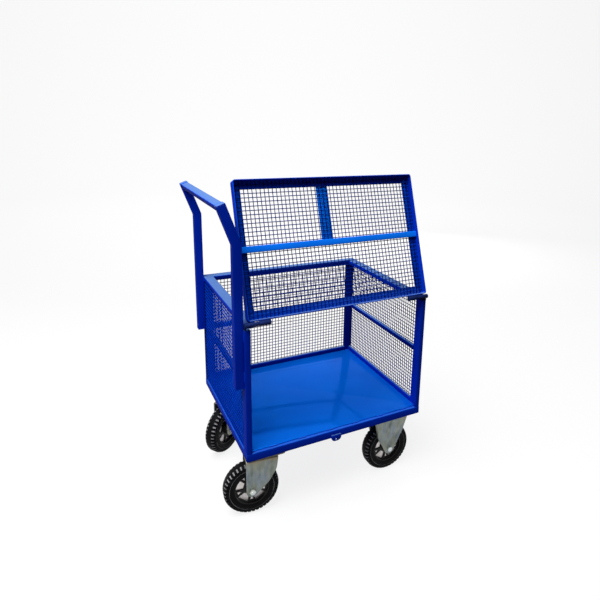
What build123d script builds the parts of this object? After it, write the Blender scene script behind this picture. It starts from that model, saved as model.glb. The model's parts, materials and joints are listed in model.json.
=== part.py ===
from build123d import *

import os
from math import atan2, cos, radians, sin, tan

os.makedirs("parts", exist_ok=True)

# Deck sizes, in millimetres
deck_length = 720
deck_width = 595
frame_tube = 30
frame_wall = 2
plate_thickness = 5
plate_setback = 10
plate_edge = 2
pad_thickness = 5
pad_overhang = 8
pad_setback = 8

# Cage sizes: the posts and top rails are one flat tube, the middle rails are flush inside with the front posts
# and the bottom rails are thin bars on edge
cage_height = 475
tube_wide = 38
tube_thin = 20
tube_wall = 1.5
tube_corner = 2.5
post_cap = 2
mid_rail_rise = 235
low_rail_height = 25
low_rail_depth = 10
mesh_wire = 3
mesh_pitch = 14.5
layer_gap = 0.05

# Handle sizes: a square tube that rises from the middle of the end wall and leans out
handle_tube = 30
handle_wall = 2
handle_inset = 12
handle_rear_inset = 4
handle_foot = 245
handle_straight = 494
handle_lean = 20.4
handle_upper = 108
cap_thickness = 3

# Door sizes: an angle frame, shown lifted and leaning back on the side rails
door_gap_left = 12
door_gap_right = 2
door_height = 467
door_angle = 30
door_wall = 3
door_corner = 9
door_lean = 18.9
bar_height = 22
bar_depth = 10
bar_corner = 2
strip_width = 45
lock_shift = -18

# Hinge sizes
hinge_forward = 4
barrel_radius = 8
barrel_length = 41
pin_radius = 4
running_gap = 0.05
lip_rise = 10
lip_forward = 1.4
leaf_thickness = 5
leaf_gap = 0.5
stop_gap = 0.1
end_plate = 5

# Lock tab sizes
tab_width = 40
tab_top = 17
tab_drop = 12
tab_thickness = 5
tab_hole_radius = 3.5
tab_hole_edge = 3
tab_flat = 10

# Castor sizes
tyre_room = 17
swivel_inset = 76
fixed_inset = 118
front_inset = 60
rear_inset = 112
trail = 44
front_turn = -7
rear_turn = 36
castor_plate = 5
castor_plate_length = 138
castor_plate_width = 104
castor_plate_corner = 8
bolt_spacing_x = 105
bolt_spacing_y = 70
bolt_radius = 5
bolt_gap = 0.25
bolt_head_radius = 9.25
bolt_head_height = 6
fork_half = 35
fork_wall = 4
crown_drop = 19
race_height = 6
race_radius = 34
race_gap = 0.3
dish_rim = 6
dish_taper = 25
kingpin_radius = 6
kingpin_end = 8
kingpin_nut_radius = 10.8
kingpin_nut_height = 7
axle_radius = 6
axle_end = 10
axle_nut_radius = 10.8
axle_head_height = 8
axle_nut_height = 9
sleeve_radius = 10
leg_round = 22
fork_gap = 0.5

# Swivel fork outline, from its crown down to the axle
crown_round = 7
crown_reach = 50
shoulder_reach = 44
shoulder_drop = 47
waist_reach = 17
waist_drop = 92
leg_curve = 60

# Fixed housing: splayed legs with folded edges
housing_margin = 2
housing_knee = 88
housing_waist_drop = 77
housing_waist_in = 13
housing_curve = 45
housing_flange = 4

# Wheel sizes: a moulded centre with windows in each face, and a rubber tyre
wheel_radius = 100
wheel_width = 50
rim_radius = 62
rim_lip = 3
rim_step = 3
web_half = 12
collar = 9
collar_draft = 3
window_count = 5
window_depth = 6
window_low = 28
window_high = 56
window_half_angle = 22
wedge_low = 34
wedge_high = 52
wedge_half = 6
wedge_depth = 3
sidewall_rise = 10
shoulder_low = 14
shoulder_high = 4
shoulder_in = 5
tread_half = 11.25

# Places that follow from the sizes
crown_top = 2 * wheel_radius + tyre_room + fork_wall
castor_height = crown_top + crown_drop
pad_bottom = castor_height
frame_bottom = castor_height + pad_thickness
frame_top = frame_bottom + frame_tube
cage_top = frame_top + cage_height
post_top = cage_top - tube_thin
lean = radians(handle_lean)
handle_half = handle_tube / 2
grip_flat = handle_half - tube_corner
grip_reach = grip_flat * (cos(lean) + sin(lean)) + tube_corner
handle_reach = handle_half + (handle_upper + handle_half) * sin(lean) + grip_reach
hinge_reach = hinge_forward + barrel_radius
left = (handle_reach - deck_length) / 2
right = left + deck_length
front = (hinge_reach - deck_width) / 2
back = front + deck_width
mesh_depth = 2 * mesh_wire + layer_gap
low_rail_in = mesh_depth + low_rail_depth
mid_rail_in = tube_thin
mid_rail_bottom = frame_top + mid_rail_rise
lock_x = (left + right) / 2 + lock_shift

# The door turns about this line, and its heel rests on the side rails when it is up
tilt = radians(door_lean)
heel = lip_forward - door_angle
axis_y = front - hinge_forward
axis_z = cage_top + stop_gap - (lip_rise * cos(tilt) + heel * sin(tilt))
door_plane = Plane(origin=(0, axis_y, axis_z), x_dir=(1, 0, 0), z_dir=(0, -cos(tilt), sin(tilt)))
door_low_x, door_high_x = left + door_gap_left, right - door_gap_right
door_width = door_high_x - door_low_x
door_x = (door_low_x + door_high_x) / 2
door_v = lip_rise + door_height / 2
mesh_front = heel + door_wall + mesh_depth


def save(piece, label):
    """Names a finished piece and writes it."""
    piece.part.label = label
    export_step(piece.part, f"parts/{label}.step")


def box_plane(low, high, run):
    """The plane across one end of a box, the section's two sizes and the run's length."""
    x, y, z = [(a + b) / 2 for a, b in zip(low, high)]
    dx, dy, dz = [b - a for a, b in zip(low, high)]
    if run == "X":
        return Plane(origin=(low[0], y, z), x_dir=(0, 1, 0), z_dir=(1, 0, 0)), dy, dz, dx
    if run == "Y":
        return Plane(origin=(x, low[1], z), x_dir=(1, 0, 0), z_dir=(0, 1, 0)), dx, dz, dy
    return Plane(origin=(x, y, low[2])), dx, dy, dz


def tube(label, low, high, run, wall=tube_wall, plan=None):
    """A hollow rectangular tube that fills the box from low to high, mitred where a plan outline is given."""
    plane, wide, tall, length = box_plane(low, high, run)
    with BuildPart() as piece:
        with BuildSketch(plane):
            RectangleRounded(wide, tall, tube_corner)
            Rectangle(wide - 2 * wall, tall - 2 * wall, mode=Mode.SUBTRACT)
        extrude(amount=length)
        if plan:
            with BuildSketch(Plane(origin=(0, 0, low[2]))):
                Polygon(*plan, align=None)
            extrude(amount=high[2] - low[2], mode=Mode.INTERSECT)
    save(piece, label)


def wire_panel(label, plane, width, height):
    """A welded mesh: upright wires on the plane and cross wires on top of them."""
    uprights = int((width - mesh_wire) / mesh_pitch)
    crosses = int((height - mesh_wire) / mesh_pitch)
    wire_radius = mesh_wire / 2
    low_end = plane.from_local_coords((0, -height / 2, wire_radius))
    left_end = plane.from_local_coords((-width / 2, 0, mesh_depth - wire_radius))
    with BuildPart() as panel:
        with BuildSketch(Plane(origin=low_end, x_dir=plane.x_dir, z_dir=plane.y_dir)):
            with GridLocations(mesh_pitch, mesh_pitch, uprights, 1):
                Circle(wire_radius)
        extrude(amount=height)
        with BuildSketch(Plane(origin=left_end, x_dir=plane.y_dir, z_dir=plane.x_dir)):
            with GridLocations(mesh_pitch, mesh_pitch, crosses, 1):
                Circle(wire_radius)
        extrude(amount=width)
    save(panel, label)


# Deck: four edge tubes, two joists, a plate on top and a pad under each corner
side_low, side_high = front + frame_tube, back - frame_tube
inner_left, inner_right = left + frame_tube, right - frame_tube
front_plan = [(left, front), (right, front), (inner_right, side_low), (inner_left, side_low)]
rear_plan = [(left, back), (inner_left, side_high), (inner_right, side_high), (right, back)]
left_plan = [(left, front), (inner_left, side_low), (inner_left, side_high), (left, back)]
right_plan = [(right, front), (right, back), (inner_right, side_high), (inner_right, side_low)]
low, high = frame_bottom, frame_top
tube("deck_front_tube", (left, front, low), (right, side_low, high), "X", frame_wall, front_plan)
tube("deck_rear_tube", (left, side_high, low), (right, back, high), "X", frame_wall, rear_plan)
tube("deck_left_tube", (left, front, low), (inner_left, back, high), "Y", frame_wall, left_plan)
tube("deck_right_tube", (inner_right, front, low), (right, back, high), "Y", frame_wall, right_plan)

swivel_x = left + swivel_inset
fixed_x = right - fixed_inset
front_y = front + front_inset
rear_y = back - rear_inset
swivel_joist = swivel_x + castor_plate_length / 2 + pad_overhang
fixed_joist = fixed_x - castor_plate_length / 2 - pad_overhang

with BuildPart() as deck_joists:
    for joist_x in (swivel_joist, fixed_joist):
        joist_end = (joist_x, side_low, frame_bottom + frame_tube / 2)
        with BuildSketch(Plane(origin=joist_end, x_dir=(1, 0, 0), z_dir=(0, 1, 0))):
            RectangleRounded(frame_tube, frame_tube, tube_corner)
            Rectangle(frame_tube - 2 * frame_wall, frame_tube - 2 * frame_wall, mode=Mode.SUBTRACT)
        extrude(amount=side_high - side_low)
save(deck_joists, "deck_joists")

plate_low = front + plate_setback
plate_high = back - low_rail_in
notch_low, notch_high = front + tube_wide / 2, back - tube_thin / 2
with BuildPart() as deck_plate:
    with BuildSketch(Plane(origin=(0, 0, frame_top))):
        with Locations(((left + right) / 2, (plate_low + plate_high) / 2)):
            Rectangle(deck_length - 2 * low_rail_in, plate_high - plate_low)
        with Locations((left, notch_low), (right, notch_low)):
            Rectangle(2 * tube_thin, tube_wide, mode=Mode.SUBTRACT)
        with Locations((left, notch_high), (right, notch_high)):
            Rectangle(2 * tube_wide, tube_thin, mode=Mode.SUBTRACT)
    extrude(amount=plate_thickness)
    front_edge = deck_plate.edges().filter_by(Axis.X).group_by(Axis.Z)[-1].sort_by(Axis.Y)[0]
    fillet(front_edge, plate_edge)
save(deck_plate, "deck_plate")

corners = [(swivel_x, front_y), (swivel_x, rear_y), (fixed_x, front_y), (fixed_x, rear_y)]
pad_reach = castor_plate_width / 2 + pad_overhang
pads_x = [(swivel_x, left + pad_setback, swivel_joist), (fixed_x, fixed_joist, right - pad_setback)]
pads_y = [(front_y, front + pad_setback, front_y + pad_reach), (rear_y, rear_y - pad_reach, back - pad_setback)]
with BuildPart() as castor_pads:
    for pad_x, low_x, high_x in pads_x:
        for pad_y, low_y, high_y in pads_y:
            with BuildSketch(Plane(origin=(0, 0, pad_bottom))):
                with Locations(((low_x + high_x) / 2, (low_y + high_y) / 2)):
                    Rectangle(high_x - low_x, high_y - low_y)
                with Locations((pad_x, pad_y)):
                    with GridLocations(bolt_spacing_x, bolt_spacing_y, 2, 2):
                        Circle(bolt_radius, mode=Mode.SUBTRACT)
            extrude(amount=pad_thickness)
save(castor_pads, "castor_pads")

# Cage posts: the front pair stand edge on to the door, the rear pair face the back
wall_low, wall_high = front + tube_wide, back - tube_thin
cap_bottom = post_top - post_cap
tube("front_left_post", (left, front, frame_top), (left + tube_thin, wall_low, cap_bottom), "Z")
tube("front_right_post", (right - tube_thin, front, frame_top), (right, wall_low, cap_bottom), "Z")
tube("rear_left_post", (left, back - tube_thin, frame_top), (left + tube_wide, back, post_top), "Z")
tube("rear_right_post", (right - tube_wide, back - tube_thin, frame_top), (right, back, post_top), "Z")

with BuildPart() as post_caps:
    for cap_x in (left + tube_thin / 2, right - tube_thin / 2):
        with BuildSketch(Plane(origin=(cap_x, front + tube_wide / 2, cap_bottom))):
            RectangleRounded(tube_thin, tube_wide, tube_corner)
        extrude(amount=post_cap)
save(post_caps, "post_caps")

# Cage rails: bottom and middle rails inside the mesh, top rails laid flat
ring_left, ring_right = left + tube_wide, right - tube_wide
low_rail = ("bottom", frame_top, frame_top + low_rail_height, low_rail_in)
mid_rail = ("mid", mid_rail_bottom, mid_rail_bottom + tube_thin, mid_rail_in)
for name, z_low, z_high, rail_in in (low_rail, mid_rail):
    end = max(tube_wide, rail_in)
    tube(f"left_{name}_rail", (left + mesh_depth, wall_low, z_low), (left + rail_in, wall_high, z_high), "Y")
    tube(f"right_{name}_rail", (right - rail_in, wall_low, z_low), (right - mesh_depth, wall_high, z_high), "Y")
    tube(f"back_{name}_rail", (left + end, back - rail_in, z_low), (right - end, back - mesh_depth, z_high), "X")
top_low, top_high = front + tube_thin, back - tube_wide
left_ring = [(left, top_low), (ring_left, top_low), (ring_left, top_high), (left, back)]
right_ring = [(right, top_low), (right, back), (ring_right, top_high), (ring_right, top_low)]
back_ring = [(left, back), (ring_left, top_high), (ring_right, top_high), (right, back)]
tube("left_top_rail", (left, top_low, post_top), (ring_left, back, cage_top), "Y", plan=left_ring)
tube("right_top_rail", (ring_right, top_low, post_top), (right, back, cage_top), "Y", plan=right_ring)
tube("back_top_rail", (left, top_high, post_top), (right, back, cage_top), "X", plan=back_ring)

# Wall meshes, welded to the outer faces of the bottom and middle rails
mesh_height = post_top - frame_top
mesh_mid = (post_top + frame_top) / 2
end_mid = (wall_low + wall_high) / 2
back_span = deck_length - 2 * tube_wide
left_face = Plane(origin=(left + mesh_depth, end_mid, mesh_mid), x_dir=(0, -1, 0), z_dir=(-1, 0, 0))
right_face = Plane(origin=(right - mesh_depth, end_mid, mesh_mid), x_dir=(0, 1, 0), z_dir=(1, 0, 0))
back_face = Plane(origin=((left + right) / 2, back - mesh_depth, mesh_mid), x_dir=(-1, 0, 0), z_dir=(0, 1, 0))
wire_panel("left_mesh", left_face, wall_high - wall_low, mesh_height)
wire_panel("right_mesh", right_face, wall_high - wall_low, mesh_height)
wire_panel("back_mesh", back_face, back_span, mesh_height)

# Handle: two bent uprights with a straight grip bar across their tops
handle_x = left - handle_half
foot_z = frame_top + handle_foot
bend_z = foot_z + handle_straight


def along_handle(offset, length):
    """A point on the leaning part, offset from its centre line towards the cage."""
    x = handle_x - length * sin(lean) + offset * cos(lean)
    z = bend_z + length * cos(lean) + offset * sin(lean)
    return (x, z)


def upright_outline(half, start):
    """The bent side outline of an upright, as wide as twice half."""
    rise = half * tan(lean / 2)
    inner = [(handle_x + half, start), (handle_x + half, bend_z + rise), along_handle(half, handle_upper)]
    outer = [along_handle(-half, handle_upper), (handle_x - half, bend_z - rise), (handle_x - half, start)]
    return inner + outer


def upright(label, y):
    """A bent square tube standing between y and y plus its width."""
    plane = Plane(origin=(0, y + handle_half, 0), x_dir=(1, 0, 0), z_dir=(0, -1, 0))
    with BuildPart() as piece:
        with BuildSketch(plane):
            Polygon(*upright_outline(handle_half, foot_z + cap_thickness), align=None)
        extrude(amount=handle_half, both=True)
        long_edges = piece.edges().filter_by(lambda edge: edge.length > 2 * handle_tube)
        fillet(long_edges, tube_corner)
        with BuildSketch(plane):
            Polygon(*upright_outline(handle_half - handle_wall, foot_z), align=None)
        extrude(amount=handle_half - handle_wall, both=True, mode=Mode.SUBTRACT)
    save(piece, label)


handle_front = front + handle_inset
handle_rear = back - handle_rear_inset - handle_tube
upright("handle_front_upright", handle_front)
upright("handle_rear_upright", handle_rear)

grip_x, grip_z = along_handle(0, handle_upper + handle_half)
grip_end = (grip_x, handle_front + cap_thickness, grip_z)
grip_start = Plane(origin=grip_end, x_dir=(cos(lean), 0, sin(lean)), z_dir=(0, 1, 0))
grip_length = handle_rear + handle_tube - handle_front - 2 * cap_thickness
with BuildPart() as handle_grip_bar:
    with BuildSketch(grip_start):
        RectangleRounded(handle_tube, handle_tube, tube_corner)
        Rectangle(handle_tube - 2 * handle_wall, handle_tube - 2 * handle_wall, mode=Mode.SUBTRACT)
    extrude(amount=grip_length)
save(handle_grip_bar, "handle_grip_bar")

with BuildPart() as handle_caps:
    for cap_y in (handle_front + handle_half, handle_rear + handle_half):
        with BuildSketch(Plane(origin=(handle_x, cap_y, foot_z))):
            RectangleRounded(handle_tube, handle_tube, tube_corner)
        extrude(amount=cap_thickness)
    for cap_plane in (grip_start.offset(-cap_thickness), grip_start.offset(grip_length)):
        with BuildSketch(cap_plane):
            RectangleRounded(handle_tube, handle_tube, tube_corner)
        extrude(amount=cap_thickness)
save(handle_caps, "handle_caps")

# Door frame: one rounded angle ring, cut on the mitres into two rails and two stiles
door_low_v, door_high_v = lip_rise, lip_rise + door_height
mitre = door_angle + door_wall
door_back = door_plane.offset(heel)


def door_member(label, corners_2d):
    """The part of the angle ring that lies inside one mitred outline."""
    inner_width, inner_height = door_width - 2 * door_wall, door_height - 2 * door_wall
    with BuildPart() as piece:
        with BuildSketch(door_back):
            with Locations((door_x, door_v)):
                RectangleRounded(door_width, door_height, door_corner)
                Rectangle(door_width - 2 * door_angle, door_height - 2 * door_angle, mode=Mode.SUBTRACT)
        extrude(amount=door_wall)
        with BuildSketch(door_back):
            with Locations((door_x, door_v)):
                RectangleRounded(door_width, door_height, door_corner)
                RectangleRounded(inner_width, inner_height, door_corner - door_wall, mode=Mode.SUBTRACT)
        extrude(amount=door_angle)
        with BuildSketch(door_back):
            Polygon(*corners_2d, align=None)
        extrude(amount=door_angle, mode=Mode.INTERSECT)
    save(piece, label)


outer = [
    (door_low_x, door_low_v),
    (door_high_x, door_low_v),
    (door_high_x, door_high_v),
    (door_low_x, door_high_v),
]
inner = [
    (door_low_x + mitre, door_low_v + mitre),
    (door_high_x - mitre, door_low_v + mitre),
    (door_high_x - mitre, door_high_v - mitre),
    (door_low_x + mitre, door_high_v - mitre),
]
for number, name in enumerate(("door_hinge_rail", "door_right_stile", "door_free_rail", "door_left_stile")):
    after = (number + 1) % 4
    door_member(name, [outer[number], outer[after], inner[after], inner[number]])

# Door mesh on the frame's flange, a bar across its front and a strip behind it
mesh_middle = door_plane.from_local_coords((door_x, door_v, heel + door_wall))
mesh_plane = Plane(origin=mesh_middle, x_dir=(1, 0, 0), z_dir=door_plane.z_dir)
wire_panel("door_mesh", mesh_plane, door_width - 2 * door_wall, door_height - 2 * door_wall)

bar_start = door_plane.from_local_coords((door_low_x + door_wall, door_v, mesh_front + bar_depth / 2))
with BuildPart() as door_crossbar:
    with BuildSketch(Plane(origin=bar_start, x_dir=door_plane.y_dir, z_dir=(1, 0, 0))):
        RectangleRounded(bar_height, bar_depth, bar_corner)
        Rectangle(bar_height - 2 * tube_wall, bar_depth - 2 * tube_wall, mode=Mode.SUBTRACT)
    extrude(amount=door_width - 2 * door_wall)
save(door_crossbar, "door_crossbar")

strip_low, strip_high = door_v - bar_height / 2, door_high_v - door_angle
with BuildPart() as door_lock_strip:
    with BuildSketch(door_back):
        with Locations((lock_x, (strip_low + strip_high) / 2)):
            Rectangle(strip_width, strip_high - strip_low)
    extrude(amount=door_wall)
save(door_lock_strip, "door_lock_strip")

# Hinges: an end plate and socket on each front post, and a turning barrel on the door
socket_low = end_plate
leaf_low = end_plate + barrel_length + leaf_gap
with BuildPart() as hinge_end_plates:
    for plate_x in (left, right - end_plate):
        with BuildSketch(Plane(origin=(plate_x, axis_y, axis_z), x_dir=(0, 1, 0), z_dir=(1, 0, 0))):
            Circle(barrel_radius)
            with Locations((hinge_forward + tube_thin / 2, (cage_top + post_top) / 2 - axis_z)):
                Rectangle(tube_thin, tube_thin)
        extrude(amount=end_plate)
save(hinge_end_plates, "hinge_end_plates")

with BuildPart() as hinge_sockets:
    for start, away in ((left + socket_low, 1), (right - socket_low, -1)):
        with BuildSketch(Plane(origin=(start, axis_y, axis_z), x_dir=(0, 1, 0), z_dir=(away, 0, 0))):
            Circle(barrel_radius)
        extrude(amount=barrel_length)
        with BuildSketch(Plane(origin=(start, axis_y, axis_z), x_dir=(0, 1, 0), z_dir=(away, 0, 0))):
            Circle(pin_radius)
        extrude(amount=2 * barrel_length)
save(hinge_sockets, "hinge_sockets")

with BuildPart() as hinge_leaves:
    for start, away in ((left + leaf_low, 1), (right - leaf_low, -1)):
        barrel_plane = Plane(origin=(start, axis_y, axis_z), x_dir=door_plane.y_dir, z_dir=(away, 0, 0))
        leaf_z = lip_forward - leaf_thickness / 2
        with BuildSketch(barrel_plane):
            Circle(barrel_radius)
            with Locations((lip_rise / 2, -away * leaf_z)):
                Rectangle(lip_rise, leaf_thickness)
            Circle(pin_radius + running_gap, mode=Mode.SUBTRACT)
        extrude(amount=barrel_length)
save(hinge_leaves, "hinge_leaves")

# Lock tab: a rounded plate with a padlock hole on the deck's front tube
with BuildPart() as lock_tab:
    tab_plane = Plane(origin=(lock_x, front, frame_bottom), x_dir=(1, 0, 0), z_dir=(0, -1, 0))
    with BuildSketch(tab_plane) as tab_outline:
        tab_low = -tab_drop
        tab_high = frame_tube - tab_top
        with Locations((0, (tab_low + tab_high) / 2)):
            Rectangle(tab_width, tab_high - tab_low)
        fillet(tab_outline.vertices().group_by(Axis.Y)[0], (tab_width - tab_flat) / 2)
        with Locations((0, tab_hole_radius + tab_hole_edge - tab_drop)):
            Circle(tab_hole_radius, mode=Mode.SUBTRACT)
    extrude(amount=tab_thickness)
save(lock_tab, "lock_tab")

# Castor heights, from the plate down to the axle
plate_bottom = castor_height - castor_plate
race_top = crown_top + race_height
dish_bottom = race_top + race_gap
fork_inner = fork_half - fork_wall
hub_half = fork_inner - fork_gap

with BuildPart() as castor_bolts:
    for bolt_x, bolt_y in corners:
        with BuildSketch(Plane(origin=(bolt_x, bolt_y, plate_bottom), z_dir=(0, 0, -1))):
            with GridLocations(bolt_spacing_x, bolt_spacing_y, 2, 2):
                RegularPolygon(bolt_head_radius, 6)
        extrude(amount=bolt_head_height)
        with BuildSketch(Plane(origin=(bolt_x, bolt_y, plate_bottom))):
            with GridLocations(bolt_spacing_x, bolt_spacing_y, 2, 2):
                Circle(bolt_radius)
        extrude(amount=castor_plate + pad_thickness)
save(castor_bolts, "castor_bolts")

# Swivel plates: a bolted plate with a round dish that covers the ball race
swivels = [("front_swivel", front_y, front_turn), ("rear_swivel", rear_y, rear_turn)]
with BuildPart() as swivel_plates:
    for name, y, turn in swivels:
        with BuildSketch(Plane(origin=(swivel_x, y, plate_bottom))):
            RectangleRounded(castor_plate_length, castor_plate_width, castor_plate_corner)
            with GridLocations(bolt_spacing_x, bolt_spacing_y, 2, 2):
                Circle(bolt_radius + bolt_gap, mode=Mode.SUBTRACT)
        extrude(amount=castor_plate)
        with BuildSketch(Plane(origin=(swivel_x, y, plate_bottom), z_dir=(0, 0, -1))):
            Circle(race_radius + dish_rim)
        extrude(amount=plate_bottom - dish_bottom, taper=dish_taper)
        with BuildSketch(Plane(origin=(swivel_x, y, dish_bottom))):
            Circle(kingpin_radius)
        extrude(amount=castor_height - dish_bottom, mode=Mode.SUBTRACT)
save(swivel_plates, "swivel_plates")

nut_top = crown_top - fork_wall - race_gap
with BuildPart() as swivel_kingpins:
    for name, y, turn in swivels:
        with BuildSketch(Plane(origin=(swivel_x, y, nut_top - kingpin_end))):
            Circle(kingpin_radius)
        extrude(amount=castor_height - nut_top + kingpin_end)
        with BuildSketch(Plane(origin=(swivel_x, y, nut_top), z_dir=(0, 0, -1))):
            RegularPolygon(kingpin_nut_radius, 6)
        extrude(amount=kingpin_nut_height)
save(swivel_kingpins, "swivel_kingpins")


def castor_planes(x, y, turn, axle_back):
    """Planes through a castor: level, along its fork, across it, and through its axle."""
    along = (cos(radians(turn)), sin(radians(turn)), 0)
    across = (-along[1], along[0], 0)
    toward = (along[1], -along[0], 0)
    level = Plane(origin=(x, y, 0), x_dir=along, z_dir=(0, 0, 1))
    side = Plane(origin=(x, y, 0), x_dir=along, z_dir=toward)
    cross = Plane(origin=(x, y, 0), x_dir=across, z_dir=along)
    axle_centre = (x - axle_back * along[0], y - axle_back * along[1], wheel_radius)
    axle = Plane(origin=axle_centre, x_dir=along, z_dir=toward)
    return level, side, cross, axle


def axle_set(label, axles):
    """Bolts with their heads and nuts outside the fork legs, and loose sleeves between the legs."""
    with BuildPart() as pieces:
        for axle in axles:
            with BuildSketch(axle):
                Circle(axle_radius)
            extrude(amount=fork_half + axle_end, both=True)
            with BuildSketch(axle.offset(fork_half)):
                RegularPolygon(axle_nut_radius, 6)
            extrude(amount=axle_head_height)
            with BuildSketch(axle.offset(-fork_half)):
                RegularPolygon(axle_nut_radius, 6)
            extrude(amount=-axle_nut_height)
            with BuildSketch(axle):
                Circle(sleeve_radius)
                Circle(axle_radius + running_gap, mode=Mode.SUBTRACT)
            extrude(amount=fork_inner, both=True)
    save(pieces, label)


def wheel(name, axle):
    """A moulded wheel centre with windows and wedges in each face, and the tyre round its rim."""
    section = Plane(origin=axle.origin, x_dir=-axle.z_dir, z_dir=axle.x_dir)
    spin = Axis(axle.origin, axle.z_dir)
    tyre_half = wheel_width / 2
    rim_half = tyre_half - rim_step
    bore = sleeve_radius + running_gap
    rim_inner = rim_radius - rim_lip
    low_half, high_half = [r * tan(radians(window_half_angle)) for r in (window_low, window_high)]
    window_ends = [(window_low, low_half), (window_high, high_half)]
    window = [(r, -half) for r, half in window_ends] + [(r, half) for r, half in reversed(window_ends)]
    wedge = [(wedge_low, 0), (wedge_high, -wedge_half), (wedge_high, wedge_half)]
    with BuildPart() as hub:
        with BuildSketch(section):
            core = [(hub_half, bore), (hub_half, bore + collar), (web_half, bore + collar + collar_draft)]
            edge = [(web_half, rim_inner), (rim_half, rim_inner), (rim_half, rim_radius)]
            side = core + edge
            Polygon(*side, *[(-a, b) for a, b in reversed(side)], align=None)
        revolve(axis=spin)
        for way in (1, -1):
            with BuildSketch(axle.offset(way * web_half)):
                with PolarLocations(0, window_count, start_angle=90):
                    Polygon(*window, align=None)
            extrude(amount=-way * window_depth, mode=Mode.SUBTRACT)
            with BuildSketch(axle.offset(way * web_half)):
                with PolarLocations(0, window_count, start_angle=90 + 180 / window_count):
                    Polygon(*wedge, align=None)
            extrude(amount=-way * wedge_depth, mode=Mode.SUBTRACT)
    save(hub, f"{name}_hub")
    with BuildPart() as tyre:
        with BuildSketch(section):
            side = [
                (rim_half, rim_radius),
                (tyre_half, rim_radius + sidewall_rise),
                (tyre_half, wheel_radius - shoulder_low),
                (tyre_half - shoulder_in, wheel_radius - shoulder_high),
                (tread_half, wheel_radius),
            ]
            Polygon(*side, *[(-a, b) for a, b in reversed(side)], align=None)
        revolve(axis=spin)
    save(tyre, f"{name}_tyre")


def swivel_castor(name, y, turn):
    """A ball race, a trailing pressed fork, its axle and its wheel."""
    level, side, cross, axle = castor_planes(swivel_x, y, turn, trail)
    with BuildPart() as race:
        with BuildSketch(level.offset(crown_top)):
            Circle(race_radius)
            Circle(kingpin_radius + running_gap, mode=Mode.SUBTRACT)
        extrude(amount=race_height)
    save(race, f"{name}_race")
    leg_low = wheel_radius - leg_round
    with BuildPart() as fork:
        with BuildSketch(side) as leg:
            dip = leg_round * cos(radians(45))
            back_x = -trail - leg_round
            top_edge = [(back_x, crown_top), (crown_reach, crown_top)]
            front_edge = [(shoulder_reach, crown_top - shoulder_drop), (waist_reach, crown_top - waist_drop)]
            foot_edge = [(dip - trail, wheel_radius - dip), (back_x, wheel_radius)]
            Polygon(*top_edge, *front_edge, *foot_edge, align=None)
            bends = leg.vertices().filter_by(lambda v: leg_round < v.Y - wheel_radius and v.Y < crown_top - crown_round)
            fillet(bends, leg_curve)
            with Locations((-trail, wheel_radius)):
                Circle(leg_round)
        extrude(amount=fork_half, both=True)
        with BuildSketch(cross) as channel:
            with Locations((0, (crown_top + leg_low) / 2)):
                Rectangle(2 * fork_half, crown_top - leg_low)
            fillet(channel.vertices().group_by(Axis.Y)[-1], crown_round)
            with Locations((0, (crown_top - fork_wall + leg_low) / 2)):
                Rectangle(2 * fork_inner, crown_top - fork_wall - leg_low, mode=Mode.SUBTRACT)
        extrude(amount=wheel_radius, both=True, mode=Mode.INTERSECT)
        with BuildSketch(level.offset(crown_top - 2 * fork_wall)):
            Circle(kingpin_radius + running_gap)
        extrude(amount=3 * fork_wall, mode=Mode.SUBTRACT)
        with BuildSketch(axle):
            Circle(axle_radius)
        extrude(amount=fork_half + axle_end, both=True, mode=Mode.SUBTRACT)
    save(fork, f"{name}_fork")
    axle_set(f"{name}_axle", [axle])
    wheel(name, axle)


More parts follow.
